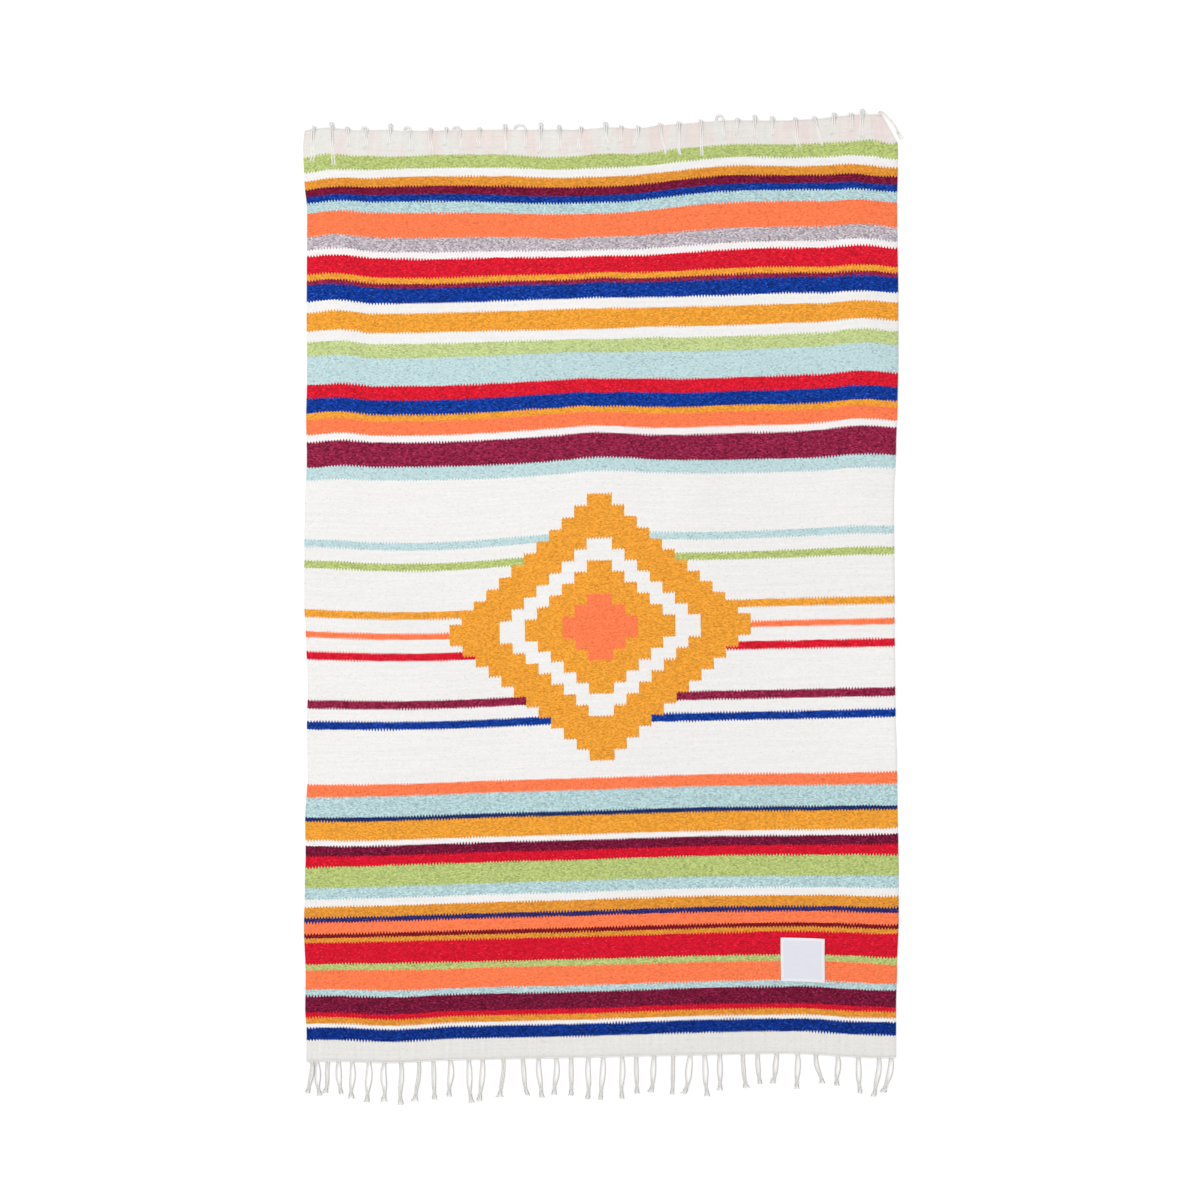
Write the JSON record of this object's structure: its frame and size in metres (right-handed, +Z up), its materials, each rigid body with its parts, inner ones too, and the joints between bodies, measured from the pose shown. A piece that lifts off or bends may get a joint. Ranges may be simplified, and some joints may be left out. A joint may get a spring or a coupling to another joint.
{
  "type": "striped serape blanket with knotted fringe",
  "caption": "Weft-faced striped serape blanket with knotted fringe at both ends, laid flat and face up.",
  "frame": {"origin": "on the floor, under the middle of the blanket's outline with its fringe", "axes": "+Y along the blanket's length from its foot to its head, +X across it to the right, +Z up out of its face"},
  "size_m": [1.2418, 2.0598, 0.0108],
  "materials": {
    "striped_weave": "weft-faced plain weave in soft spun yarn, matt, with bands of white, green, gold, burgundy, blue, pale aqua, orange, grey and red",
    "warp_yarn": "off-white twisted cotton warp yarn, matt",
    "label_cloth": "smooth white woven tape, slight sheen"
  },
  "bodies": {
    "root": {"woven_panel": "striped_weave", "foot_fringe": "warp_yarn", "head_fringe": "warp_yarn", "sewn_label": "label_cloth"}
  },
  "joints": []
}
